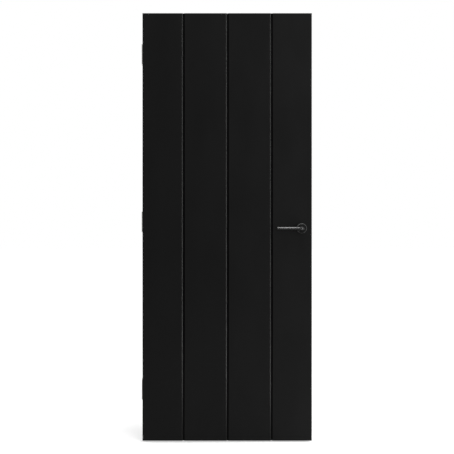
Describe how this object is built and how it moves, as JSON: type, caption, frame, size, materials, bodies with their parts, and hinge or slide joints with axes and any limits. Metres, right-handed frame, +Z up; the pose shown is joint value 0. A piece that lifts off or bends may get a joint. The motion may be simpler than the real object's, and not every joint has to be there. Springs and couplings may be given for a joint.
{
  "type": "interior door",
  "caption": "Satin black interior door leaf with full-height V-grooves, round bar levers on round roses, a flush latch and butt hinges; it swings on its hinges and the lever turns.",
  "frame": {"origin": "centre height of the bottom hinge, on the flat face of its frame leaf that lies against the jamb, at half the leaf's thickness", "axes": "+X along the leaf's width from the hinge edge to the lock edge, +Y from the front face to the back face where the hinge knuckles are, +Z up"},
  "size_m": [0.8448, 0.17, 2.115],
  "materials": {
    "facing_paint": "grooved fibreboard, satin black paint",
    "edge_paint": "softwood edge, satin black paint",
    "softwood": "planed softwood",
    "honeycomb_core": "paper honeycomb",
    "handle_black": "satin black powder coat",
    "rose_base_plastic": "moulded black nylon",
    "satin_steel": "satin stainless steel",
    "bearing_steel": "turned steel",
    "zinc_steel": "zinc plated steel"
  },
  "bodies": {
    "frame_hinges": {"bottom_hinge_frame_leaf": "satin_steel", "bottom_hinge_pin": "satin_steel", "bottom_hinge_lower_bearing": "bearing_steel", "bottom_hinge_upper_bearing": "bearing_steel", "middle_hinge_frame_leaf": "satin_steel", "middle_hinge_pin": "satin_steel", "middle_hinge_lower_bearing": "bearing_steel", "middle_hinge_upper_bearing": "bearing_steel", "top_hinge_frame_leaf": "satin_steel", "top_hinge_pin": "satin_steel", "top_hinge_lower_bearing": "bearing_steel", "top_hinge_upper_bearing": "bearing_steel"},
    "door_leaf": {"hinge_stile": "edge_paint", "lock_stile": "edge_paint", "top_rail": "edge_paint", "bottom_rail": "edge_paint", "lock_block": "softwood", "core_panel": "honeycomb_core", "front_facing": "facing_paint", "back_facing": "facing_paint", "latch_case": "zinc_steel", "latch_forend": "satin_steel", "latch_bolt": "satin_steel", "front_rose_base": "rose_base_plastic", "back_rose_base": "rose_base_plastic", "front_rose": "handle_black", "back_rose": "handle_black", "bottom_hinge_door_leaf": "satin_steel", "middle_hinge_door_leaf": "satin_steel", "top_hinge_door_leaf": "satin_steel"},
    "handle": {"front_lever": "handle_black", "back_lever": "handle_black", "spindle": "zinc_steel"}
  },
  "joints": [
    {"name": "door_swing", "type": "hinge", "parent": "frame_hinges", "child": "door_leaf", "pos_m": [0.00375, 0.0265, 0], "axis": [0, 0, 1], "range_deg": [0, 175]},
    {"name": "lever_turn", "type": "hinge", "parent": "door_leaf", "child": "handle", "pos_m": [0.793, 0, 0.8], "axis": [0, -1, 0], "range_deg": [0, 45], "stiffness_Nm_per_rad": 1.5, "springref_deg": -34.38}
  ]
}
